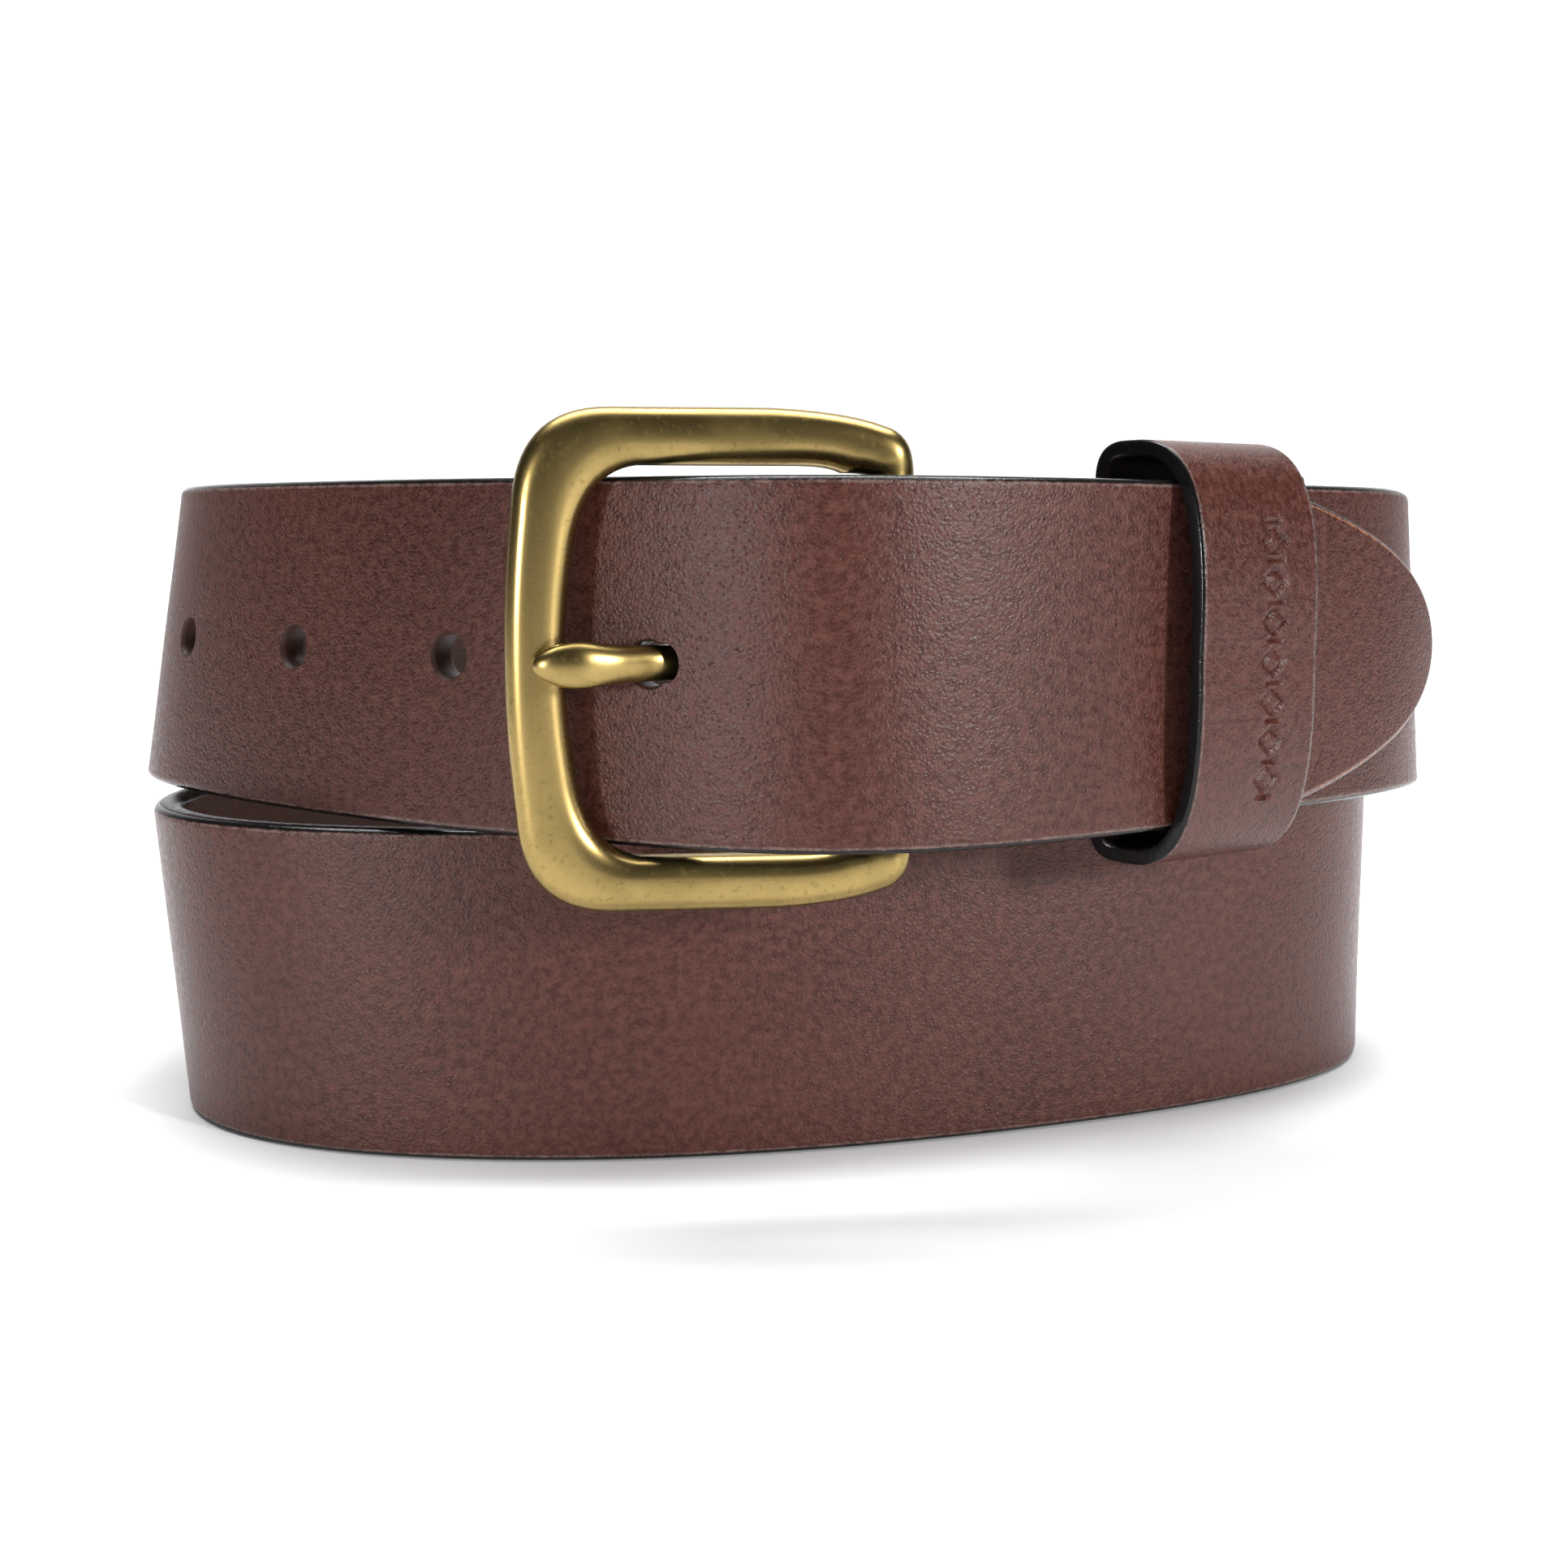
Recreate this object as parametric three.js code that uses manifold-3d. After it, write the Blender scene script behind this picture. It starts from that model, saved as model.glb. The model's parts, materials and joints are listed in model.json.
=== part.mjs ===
// A 38 mm single-ply leather belt, buckled and coiled into two turns, one ring standing on the other.
// Millimetres, +Z up. The table is Z = 0, the buckle faces -Y, and the tip points to +X.
import * as THREE from 'three';
import { mergeVertices } from 'three/addons/utils/BufferGeometryUtils.js';
import Module from 'manifold-3d';

const wasm = await Module();
wasm.setup();

// Driving dimensions
const strapWidth = 38;
const strapThickness = 3.5;
const flapThickness = 2.2; // the turned-back end is skived
const gap = 0.3; // between neighbouring solids
const layerGap = 0.5; // between the tail and the strap it lies on
const heelBarRadius = 2.25;
const heelBarDistance = 10.6; // along the route, to where the strap wraps the heel bar
const upperRingBottom = 38.4;
const holeRadius = 2.3;
const holePitch = 25.4;
const holeCount = 5;
const tipLength = 35; // the rounded point of the tail
const station = 6.5; // length of one step of a swept strap

// Route of the strap's centreline from the heel bar, through both turns and back to the buckle:
// x, y, height of the bottom edge, lean in degrees (positive where the bottom edge stands outward).
// The points are the control points of a uniform cubic B-spline, chosen by hand.
const strapRoute = [
  [-21.5, -61.5, 38.4, 1], [3, -61, 38.4, 0], [23.5, -52.5, 38.4, 0], [44, -37, 38.4, 0],
  [65.5, -21.5, 38.4, 2], [80.5, -5, 38.6, 4], [84, 14, 37, 4], [79, 34, 32, 3],
  [67, 52, 25.6, 2], [49, 65.5, 18.4, 1], [27.5, 73, 10.6, 0], [3.5, 75.5, 4, 0],
  [-20, 72.5, 0, 0], [-41, 62.5, 0, -1], [-58.5, 45, 0, -2], [-70.5, 23, 0, -4],
  [-76.5, -0.5, 0, -5], [-75.5, -21, 0, -5], [-63.5, -34.5, 0, -3], [-43.5, -41, 0, -1],
  [-18.5, -41.5, 0, 0], [7.5, -36.5, 0, 0], [33, -27.5, 0, 0], [56, -16.5, 0, 0],
  [73.5, -3, 0, 0], [80, 13, 0, 0], [75.5, 31, 3, 0], [63, 48.5, 10, 0],
  [43.5, 61.5, 19, 0], [20.5, 68.5, 28.6, 0], [-4, 69, 36.6, 0], [-28.5, 63.5, 39.8, 1],
  [-52, 53, 39.6, 3], [-70.5, 37.5, 39.2, 6], [-81, 19, 39.2, 8], [-81.5, 0.5, 39.2, 9],
  [-70.5, -15.5, 39.2, 8], [-54.5, -31, 38.8, 5], [-36.5, -44.5, 38.6, 2], [-18.5, -54.5, 38.4, 0],
];
const tailOverlap = 7; // control points of the main strap that the tail lies over
const beltMiddle = [0.2, 6.5]; // plan centre of the whole belt, moved to the origin

// Route and sections

function tailPoints() {
  // the tail lies on the first stretch of the main strap, one thickness further out
  const out = strapThickness + layerGap;
  return Array.from({ length: tailOverlap }, (_, i) => {
    const [before, here, after] = [strapRoute[i], strapRoute[i + 1], strapRoute[i + 2]];
    const along = new THREE.Vector2(after[0] - before[0], after[1] - before[1]).normalize();
    return [here[0] + along.y * out, here[1] - along.x * out, upperRingBottom, here[3]];
  });
}

function splinePoint(points, u) {
  const i = Math.min(Math.floor(u), points.length - 4);
  const f = u - i;
  const weights = [(1 - f) ** 3, 3 * f ** 3 - 6 * f ** 2 + 4, -3 * f ** 3 + 3 * f ** 2 + 3 * f + 1, f ** 3];
  return [0, 1, 2, 3].map((k) => weights.reduce((sum, w, j) => sum + (w / 6) * points[i + j][k], 0));
}

function measureRoute(points, stepsPerSpan = 40) {
  // samples of the spline, each with its distance along the route
  const samples = [];
  let distance = 0;
  for (let n = 0; n <= (points.length - 3) * stepsPerSpan; n++) {
    const [x, y, bottom, lean] = splinePoint(points, n / stepsPerSpan);
    const last = samples.at(-1);
    if (last) distance += Math.hypot(x - last.x, y - last.y, bottom - last.bottom);
    samples.push({ x, y, bottom, lean, distance });
  }
  return samples;
}

const route = measureRoute([...strapRoute, ...tailPoints()]);

function sampleAt(distance) {
  const next = Math.max(1, route.findIndex((p) => p.distance >= distance));
  const [a, b] = [route[next - 1], route[next]];
  const f = (distance - a.distance) / (b.distance - a.distance);
  const mix = (key) => a[key] + f * (b[key] - a[key]);
  return { x: mix('x'), y: mix('y'), bottom: mix('bottom'), lean: mix('lean') };
}

function sectionAt(distance) {
  // middle point, outward normal (level) and width direction of the strap at a distance from the start
  const [before, here, after] = [distance - 0.5, distance, distance + 0.5].map(sampleAt);
  const along = new THREE.Vector3(after.x - before.x, after.y - before.y, after.bottom - before.bottom);
  along.normalize();
  const out = new THREE.Vector3(along.y, -along.x, 0).normalize();
  const lean = THREE.MathUtils.degToRad(here.lean);
  const up = new THREE.Vector3().crossVectors(out, along).negate();
  if (up.z < 0) up.negate();
  up.multiplyScalar(Math.cos(lean)).addScaledVector(out, -Math.sin(lean));
  const middle = new THREE.Vector3(here.x, here.y, here.bottom + (strapWidth / 2) * up.z);
  return { middle, out, up, along };
}

const heel = heelBarDistance;
const tipDistance = 982; // the tip of the belt
const buckledHole = 868.8; // the hole that the prong is through
const tipFlex = 953; // where the free tip bends away from the strap under it

// Solids

function toSolid(geometry) {
  const plain = geometry.clone();
  ['normal', 'uv'].forEach((name) => plain.deleteAttribute(name));
  const merged = mergeVertices(plain, 1e-4);
  const vertProperties = new Float32Array(merged.attributes.position.array);
  const triVerts = new Uint32Array(merged.index.array);
  return new wasm.Manifold(new wasm.Mesh({ numProp: 3, vertProperties, triVerts }));
}

function toGeometry(solid) {
  const mesh = solid.getMesh();
  const geometry = new THREE.BufferGeometry();
  geometry.setAttribute('position', new THREE.BufferAttribute(new Float32Array(mesh.vertProperties), 3));
  geometry.setIndex([...mesh.triVerts]);
  return geometry;
}

function subtractAll(geometry, cutters) {
  return toGeometry(cutters.reduce((solid, cutter) => solid.subtract(toSolid(cutter)), toSolid(geometry)));
}

function joinAll(geometries) {
  return toGeometry(geometries.map(toSolid).reduce((a, b) => a.add(b)));
}

function loft(rings) {
  // closed skin over rings of corners, all with the same number, with flat caps
  const count = rings[0].length;
  const indices = [];
  for (let r = 0; r + 1 < rings.length; r++) {
    for (let i = 0; i < count; i++) {
      const [a, b] = [r * count + i, r * count + ((i + 1) % count)];
      indices.push(a, b, b + count, a, b + count, a + count);
    }
  }
  const last = (rings.length - 1) * count;
  for (let i = 1; i + 1 < count; i++) {
    indices.push(0, i + 1, i, last, last + i, last + i + 1);
  }
  const geometry = new THREE.BufferGeometry().setFromPoints(rings.flat());
  geometry.setIndex(indices);
  return geometry;
}

function strapRing(section, innerFace, outerFace, halfHeight = strapWidth / 2) {
  const corner = (across, up) =>
    section.middle.clone().addScaledVector(section.up, up).addScaledVector(section.out, across);
  return [
    corner(innerFace, -halfHeight), corner(innerFace, halfHeight),
    corner(outerFace, halfHeight), corner(outerFace, -halfHeight),
  ];
}

function strapLength(from, to, halfHeightAt = () => strapWidth / 2) {
  const steps = Math.max(2, Math.ceil((to - from) / station));
  const half = strapThickness / 2;
  return loft(Array.from({ length: steps + 1 }, (_, i) => {
    // stations close up towards the far end where the strap is pointed
    const f = halfHeightAt(to) < strapWidth / 2 ? 1 - (1 - i / steps) ** 2 : i / steps;
    const distance = from + (to - from) * f;
    return strapRing(sectionAt(distance), -half, half, halfHeightAt(distance));
  }));
}

function crossCylinder(distance, radius, fromFace, toFace, sides = 20) {
  // a cylinder through the strap's thickness, between two distances from its centreline
  const section = sectionAt(distance);
  const geometry = new THREE.CylinderGeometry(radius, radius, toFace - fromFace, sides);
  const turn = new THREE.Quaternion().setFromUnitVectors(new THREE.Vector3(0, 1, 0), section.out);
  geometry.applyQuaternion(turn);
  const place = section.middle.clone().addScaledVector(section.out, (fromFace + toFace) / 2);
  return geometry.translate(...place);
}

// Strap pieces

const foldRadius = heelBarRadius + gap + flapThickness / 2; // of the wrap's centreline
const flapLength = 63; // from the heel bar to the cut end
const flapOffset = strapThickness / 2 + gap + flapThickness / 2;
const foldJoin = 8; // where the wrap becomes the full-thickness strap
const prongSlot = { width: 6, length: 13 };

function turnbackRing(distance, across, thickness) {
  const section = sectionAt(distance);
  return strapRing(section, across - thickness / 2, across + thickness / 2);
}

function turnback() {
  // the strap's end: in front of the heel bar, round it, and back along the inside of the strap
  const front = [foldJoin - gap / 2, foldJoin / 2].map((d) => turnbackRing(heel + d, 0, flapThickness));
  const bar = heelBarCentre();
  const { out, along } = sectionAt(heel);
  const wrapSteps = 12;
  const wrap = Array.from({ length: wrapSteps + 1 }, (_, i) => {
    const angle = (Math.PI * i) / wrapSteps;
    const spoke = out.clone().multiplyScalar(Math.cos(angle)).addScaledVector(along, -Math.sin(angle));
    return [[foldRadius - flapThickness / 2, -1], [foldRadius - flapThickness / 2, 1],
      [foldRadius + flapThickness / 2, 1], [foldRadius + flapThickness / 2, -1]].map(([r, up]) =>
      bar.clone().addScaledVector(spoke, r).add(new THREE.Vector3(0, 0, (up * strapWidth) / 2)));
  });
  const flapSteps = 14;
  const flap = Array.from({ length: flapSteps }, (_, i) => {
    const d = (flapLength * (i + 1)) / flapSteps;
    const closing = THREE.MathUtils.smoothstep(d, 0, 11);
    const across = THREE.MathUtils.lerp(-2 * foldRadius, -flapOffset, closing);
    return turnbackRing(heel + d, across, flapThickness).map((_, k, ring) => ring[[3, 2, 1, 0][k]]);
  });
  const piece = loft([...front, ...wrap, ...flap].reverse());
  const slot = new THREE.BoxGeometry(prongSlot.length, 2 * (foldRadius + flapThickness), prongSlot.width);
  slot.translate(-prongSlot.length / 2 + 4.5, 0, 0);
  return { piece, slot: placeOnFrame(slot) };
}

function heelBarCentre() {
  const { middle, out } = sectionAt(heel);
  return middle.addScaledVector(out, -foldRadius);
}

// Buckle

const frameLength = 42.3;
const frameHeight = 51.8;
const frameThickness = 5;
const barWidth = 6.2;
const frameYaw = 7.35; // degrees, the outer bar stands further out than the heel bar
const frameMiddleHeight = 57.5;

function placeOnFrame(geometry) {
  // frame space: x from the heel bar's axis, y through the thickness, z up
  const bar = heelBarCentre();
  geometry.rotateZ(THREE.MathUtils.degToRad(frameYaw));
  return geometry.translate(bar.x, bar.y, frameMiddleHeight);
}

function frameOutline() {
  const [left, right, top] = [-frameLength + heelBarRadius, heelBarRadius, frameHeight / 2];
  const shape = new THREE.Shape();
  shape.moveTo(left + 0.9, -top + 10);
  shape.quadraticCurveTo(left - 0.9, 0, left + 0.9, top - 10);
  shape.bezierCurveTo(left + 1.3, top - 4, left + 4, top, left + 11, top);
  shape.lineTo(right - 12, top);
  shape.quadraticCurveTo(right - 5, top - 0.4, right - 2.5, top - 1.6);
  shape.quadraticCurveTo(right, top - 2.8, right, top - 8);
  shape.lineTo(right, -top + 8);
  shape.quadraticCurveTo(right, -top + 2.8, right - 2.5, -top + 1.6);
  shape.quadraticCurveTo(right - 5, -top + 0.4, right - 12, -top);
  shape.lineTo(left + 11, -top);
  shape.bezierCurveTo(left + 4, -top, left + 1.3, -top + 4, left + 0.9, -top + 10);
  return shape;
}

function frameOpening() {
  const [left, right, top] = [-frameLength + heelBarRadius + barWidth, -1.2, 20.4];
  const hole = new THREE.Path();
  hole.moveTo(left + 0.8, -top + 5.5);
  hole.quadraticCurveTo(left - 0.8, 0, left + 0.8, top - 5.5);
  hole.quadraticCurveTo(left + 0.8, top, left + 3.2, top);
  hole.lineTo(right, top);
  hole.lineTo(right, -top);
  hole.lineTo(left + 3.2, -top);
  hole.quadraticCurveTo(left + 0.8, -top, left + 0.8, -top + 5.5);
  return hole;
}

function buckleFrame() {
  const bevel = 1.4;
  const outline = frameOutline();
  const ring = new THREE.ExtrudeGeometry(outline, {
    depth: frameThickness - 2 * bevel, curveSegments: 6,
    bevelThickness: bevel, bevelSize: bevel, bevelOffset: -bevel, bevelSegments: 3,
  });
  ring.rotateX(Math.PI / 2);
  ring.translate(0, frameThickness / 2 - bevel, 0);
  const opening = new THREE.ExtrudeGeometry(new THREE.Shape(frameOpening().getPoints(6)), {
    depth: 2 * frameThickness, bevelEnabled: false,
  });
  opening.rotateX(Math.PI / 2).translate(0, frameThickness, 0);
  // the heel end is cleared for the leather and closed again by the round heel bar
  const clearance = new THREE.BoxGeometry(2 * foldRadius + 8, 3 * frameThickness, 40);
  clearance.translate(foldRadius, 0, 0);
  const heelBar = new THREE.CylinderGeometry(heelBarRadius, heelBarRadius, 41, 24).rotateX(Math.PI / 2);
  return placeOnFrame(joinAll([subtractAll(ring, [opening, clearance]), heelBar]));
}

const prongEye = { radius: 4.4, width: 5.2 };

function prongSections(grow = 0) {
  // x, y of the centreline, half width and half depth, in frame space
  return [
    [0.5, -2.4, 2.4, 1.4], [-6, -1.9, 2.1, 1.5], [-14, -1.2, 1.9, 1.5], [-20, -1.1, 1.85, 1.5],
    [-24.5, -1.8, 1.85, 1.5], [-29, -3.6, 1.95, 1.45], [-33.6, -4.45, 2.35, 1.35],
    [-35.6, -4.4, 1.7, 1.2], [-37.2, -4.3, 0.7, 0.7],
  ].map(([x, y, halfWidth, halfDepth]) => {
    return { x, y, halfWidth: halfWidth + grow, halfDepth: halfDepth + grow };
  });
}

function prongShank(grow = 0, sides = 12) {
  return loft(prongSections(grow).map(({ x, y, halfWidth, halfDepth }) =>
    Array.from({ length: sides }, (_, i) => {
      const angle = (2 * Math.PI * i) / sides;
      return new THREE.Vector3(x, y + halfDepth * Math.sin(angle), halfWidth * Math.cos(angle));
    })));
}

function buckleProng() {
  const eye = new THREE.CylinderGeometry(prongEye.radius, prongEye.radius, prongEye.width, 28);
  const bore = new THREE.CylinderGeometry(heelBarRadius + gap, heelBarRadius + gap, 2 * prongEye.width, 24);
  [eye, bore].forEach((g) => g.rotateX(Math.PI / 2));
  return placeOnFrame(subtractAll(joinAll([eye, prongShank()]), [bore]));
}

function prongCutter() {
  // the leather gives round the prong, also when the prong lifts a little
  const lifted = prongShank(0.35).rotateZ(THREE.MathUtils.degToRad(4));
  return placeOnFrame(joinAll([prongShank(0.35), lifted]));
}

// Keeper loop

const keeper = { distance: 39.9, length: 19, height: 47, depth: 16.6, wall: 1.8 };
const keeperBack = -(flapOffset + flapThickness / 2 + 0.5 + keeper.wall); // from the strap's centreline

function keeperOutline() {
  // section of the loop: x outward from its flat back, y up
  const [top, front] = [keeper.height / 2, keeper.depth];
  const shape = new THREE.Shape();
  shape.moveTo(0, -top + 4.3);
  shape.lineTo(0, top - 4.3);
  shape.quadraticCurveTo(0, top, 4.3, top);
  shape.lineTo(6.5, top);
  shape.bezierCurveTo(front - 0.7, top, front + 0.2, 17, front, 0);
  shape.bezierCurveTo(front + 0.2, -17, front - 0.7, -top, 6.5, -top);
  shape.lineTo(4.3, -top);
  shape.quadraticCurveTo(0, -top, 0, -top + 4.3);
  return shape.getPoints(6);
}

function insetOutline(points, inset) {
  // each point moved inward, square to the line through its neighbours
  const ring = points.slice(0, -1);
  return ring.map((point, i) => {
    const before = ring.at(i - 1);
    const after = ring[(i + 1) % ring.length];
    const along = after.clone().sub(before).normalize();
    return new THREE.Vector2(point.x + along.y * inset, point.y - along.x * inset);
  });
}

function keeperFrame() {
  const { middle, out, along } = sectionAt(heel + keeper.distance);
  return new THREE.Matrix4().makeBasis(out, new THREE.Vector3(0, 0, 1), along.clone().setZ(0).negate())
    .setPosition(middle.addScaledVector(out, keeperBack));
}

function keeperLoop() {
  const outline = keeperOutline();
  const shape = new THREE.Shape(outline.slice(0, -1));
  shape.holes.push(new THREE.Path(insetOutline(outline, keeper.wall).reverse()));
  const loop = new THREE.ExtrudeGeometry(shape, { depth: keeper.length, bevelEnabled: false });
  loop.translate(0, 0, -keeper.length / 2);
  const legHoles = [-1, 1].map((side) => new THREE.CylinderGeometry(0.8, 0.8, 3 * keeper.wall, 10)
    .rotateZ(Math.PI / 2).translate(0, side * staple.span / 2, 0));
  return subtractAll(loop, legHoles).applyMatrix4(keeperFrame());
}

const staple = { span: 9, wire: 0.9, leg: 1.6 };

function keeperStaple() {
  // a wire staple that closes the loop at its back
  const { span, wire, leg } = staple;
  const [end, back] = [span / 2 + wire / 2, -gap - wire];
  const shape = new THREE.Shape([
    [back, -end], [leg, -end], [leg, -end + wire], [-gap, -end + wire],
    [-gap, end - wire], [leg, end - wire], [leg, end], [back, end],
  ].map(([x, y]) => new THREE.Vector2(x, y)));
  const wireShape = new THREE.ExtrudeGeometry(shape, { depth: wire, bevelEnabled: false });
  return wireShape.translate(0, 0, -wire / 2).applyMatrix4(keeperFrame());
}

// Screw posts through the strap and its turned-back end

const post = { headRadius: 4.6, headThickness: 1, barrelRadius: 2.5, boreRadius: 1.7, shankRadius: 1.35 };
const postDistances = [16.5, 57]; // one on each side of the keeper
const innerFace = -(flapOffset + flapThickness / 2);
const outerFace = strapThickness / 2;

function screwPost(distance) {
  const head = crossCylinder(distance, post.headRadius, outerFace - post.headThickness, outerFace, 28);
  const barrel = crossCylinder(distance, post.barrelRadius, innerFace + 0.4, outerFace - 0.5);
  const bore = crossCylinder(distance, post.boreRadius, innerFace - 1, outerFace - post.headThickness);
  return subtractAll(joinAll([head, barrel]), [bore]);
}

function postScrew(distance) {
  const headTop = innerFace - gap;
  const head = crossCylinder(distance, post.headRadius, headTop - 1.2, headTop, 28);
  const shank = crossCylinder(distance, post.shankRadius, headTop - 0.5, innerFace + 4);
  const { middle, out, up } = sectionAt(distance);
  const slot = new THREE.BoxGeometry(1.1, 12, 0.6);
  slot.applyMatrix4(new THREE.Matrix4().makeBasis(new THREE.Vector3().crossVectors(up, out), up, out));
  slot.translate(...middle.addScaledVector(out, headTop - 1.2));
  return subtractAll(joinAll([head, shank]), [slot]);
}

function postClearance(distance) {
  return [
    crossCylinder(distance, post.barrelRadius + gap, innerFace - 3, outerFace + 1),
    crossCylinder(distance, post.headRadius + gap, outerFace - post.headThickness - gap, outerFace + 1, 28),
  ];
}

// Materials

const finish = (color, roughness, metalness) => new THREE.MeshStandardMaterial({ color, roughness, metalness });
const leather = () => finish(0x5e4038, 0.5, 0);
const brass = () => finish(0x94804c, 0.32, 1);
const steel = () => finish(0x8d8d8b, 0.35, 1);

// Assembly

const belt = new THREE.Group();

function add(name, geometry, material) {
  const mesh = new THREE.Mesh(geometry, material);
  mesh.name = name;
  belt.add(mesh);
}

function tipHalfHeight(distance) {
  // a rounded point: half the height grows with the root of the distance from its end
  const f = THREE.MathUtils.clamp((tipDistance - distance) / tipLength, 0.001, 1);
  return (strapWidth / 2) * Math.sqrt(f);
}

const posts = postDistances.map((d) => heel + d);
const holes = Array.from({ length: holeCount }, (_, i) => buckledHole - i * holePitch);
const holeCutters = holes.map((d) => crossCylinder(d, holeRadius, -strapThickness, strapThickness));

const strapPieces = [
  ['strap_under_keeper', heel + foldJoin, 102],
  ['strap_right_limb', 102, 190],
  ['strap_back_descending', 190, 300],
  ['strap_lower_left', 300, 395],
  ['strap_lower_front', 395, 520],
  ['strap_lower_right', 520, 600],
  ['strap_back_ascending', 600, 700],
  ['strap_upper_left', 700, 790],
  ['strap_buckled_end', 790, 910],
  ['strap_tail', 910, tipFlex],
];

for (const [name, from, to] of strapPieces) {
  const cutters = [];
  if (name === 'strap_under_keeper') cutters.push(...posts.flatMap(postClearance));
  if (name === 'strap_upper_left') cutters.push(...holeCutters.slice(3));
  if (name === 'strap_buckled_end') cutters.push(...holeCutters.slice(0, 3), prongCutter());
  const piece = strapLength(from + gap / 2, to - gap / 2);
  add(name, cutters.length ? subtractAll(piece, cutters) : piece, leather());
}
add('strap_tip', strapLength(tipFlex + gap / 2, tipDistance, tipHalfHeight), leather());

const { piece: turnbackPiece, slot: slotCutter } = turnback();
add('strap_turnback', subtractAll(turnbackPiece, [slotCutter, ...posts.flatMap(postClearance)]), leather());
add('buckle_frame', buckleFrame(), brass());
add('buckle_prong', buckleProng(), brass());
add('keeper_loop', keeperLoop(), leather());
add('keeper_staple', keeperStaple(), steel());
posts.forEach((distance, i) => {
  add(`screw_post_${i + 1}`, screwPost(distance), brass());
  add(`post_screw_${i + 1}`, postScrew(distance), brass());
});

belt.position.set(-beltMiddle[0], -beltMiddle[1], 0);

export default belt;
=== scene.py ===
import json
import math

import bmesh
import bpy
import numpy as np
from mathutils import Matrix, Vector, noise


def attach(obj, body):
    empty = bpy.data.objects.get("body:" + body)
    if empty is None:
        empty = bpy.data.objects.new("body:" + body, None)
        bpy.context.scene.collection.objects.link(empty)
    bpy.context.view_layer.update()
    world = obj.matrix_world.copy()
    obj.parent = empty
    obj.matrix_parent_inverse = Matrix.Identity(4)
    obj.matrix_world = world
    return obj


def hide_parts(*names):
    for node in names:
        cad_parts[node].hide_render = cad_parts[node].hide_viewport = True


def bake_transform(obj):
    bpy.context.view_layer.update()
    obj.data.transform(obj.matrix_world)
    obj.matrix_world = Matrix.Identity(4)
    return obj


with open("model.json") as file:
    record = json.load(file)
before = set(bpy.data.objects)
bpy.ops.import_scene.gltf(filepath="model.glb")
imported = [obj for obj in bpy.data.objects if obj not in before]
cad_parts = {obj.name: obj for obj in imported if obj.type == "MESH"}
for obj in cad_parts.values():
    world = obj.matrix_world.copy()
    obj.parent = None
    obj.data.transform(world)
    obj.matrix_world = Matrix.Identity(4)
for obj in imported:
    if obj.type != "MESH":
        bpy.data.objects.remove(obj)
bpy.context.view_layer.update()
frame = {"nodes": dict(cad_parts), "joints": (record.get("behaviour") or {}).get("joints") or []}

mm = 0.001
joints = {joint["name"]: joint for joint in frame["joints"]}
print("belt: frame loaded,", len(frame["nodes"]), "nodes")


# Studio

studio = {
    "cameraAt": (-0.2 * mm, -267.5 * mm, 70 * mm),
    "pitch": 7.0,  # degrees, looking down
    "lens": 45.65,
    "ambient": (0.035, 0.035, 0.037),
    "floorColour": (0.86, 0.86, 0.87),
    "floorHalfWidth": 4.0,
    "backdropAt": 1.1,
    "backdropBend": 0.5,
    "backdropTop": 1.7,
    "softboxes": {  # place, aim, width, height, watts
        "overheadBox": ((0.0, 0.10, 1.10), (0, 0.1, 0), 1.3, 0.9, 16),
        "leftBox": ((-0.72, -0.98, 0.16), (0, 0, 0.07), 0.12, 0.13, 5.6),
        "rightBox": ((0.99, -0.87, 0.38), (0, 0, 0.04), 0.13, 0.24, 14.2),
        "backdropBox": ((0.0, 0.25, 1.25), (0, 1.1, 0.45), 1.4, 0.4, 26),
    },
}


def buildStudio():
    scene = bpy.context.scene
    camera = bpy.data.objects.new("camera", bpy.data.cameras.new("camera"))
    camera.location = studio["cameraAt"]
    camera.rotation_euler = (math.radians(90 - studio["pitch"]), 0, 0)
    camera.data.lens = studio["lens"]
    camera.data.sensor_width = 36
    camera.data.clip_start = 0.01
    scene.collection.objects.link(camera)
    scene.camera = camera
    world = bpy.data.worlds.new("studioAir")
    world.use_nodes = True
    world.node_tree.nodes["Background"].inputs["Color"].default_value = (*studio["ambient"], 1)
    scene.world = world
    scene.view_settings.view_transform = "Standard"
    for name, (place, aim, width, height, watts) in studio["softboxes"].items():
        light = bpy.data.lights.new(name, "AREA")
        light.shape = "RECTANGLE"
        light.size, light.size_y, light.energy = width, height, watts
        box = bpy.data.objects.new(name, light)
        box.location = place
        box.rotation_euler = (Vector(aim) - Vector(place)).to_track_quat("-Z", "Y").to_euler()
        scene.collection.objects.link(box)


def buildFloor(material):
    # a sheet that lies flat and curves up behind the belt
    half, back, bend = studio["floorHalfWidth"], studio["backdropAt"], studio["backdropBend"]
    steps = 16
    path = [(-2.2, 0.0)] + [
        (back + bend * math.sin(a), bend * (1 - math.cos(a)))
        for a in (math.pi / 2 * i / steps for i in range(steps + 1))
    ] + [(back + bend, studio["backdropTop"])]
    mesh = bpy.data.meshes.new("floor")
    vertices = [(side * half, y, z - 0.02 * mm) for y, z in path for side in (-1, 1)]
    faces = [(2 * i, 2 * i + 1, 2 * i + 3, 2 * i + 2) for i in range(len(path) - 1)]
    mesh.from_pydata(vertices, [], faces)
    mesh.shade_smooth()
    floor = bpy.data.objects.new("floor", mesh)
    floor.data.materials.append(material)
    bpy.context.scene.collection.objects.link(floor)


# Shader helpers

def setInputs(tree, node, values):
    for key, value in values.items():
        if isinstance(value, bpy.types.NodeSocket):
            tree.links.new(value, node.inputs[key])
        else:
            node.inputs[key].default_value = value


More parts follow.
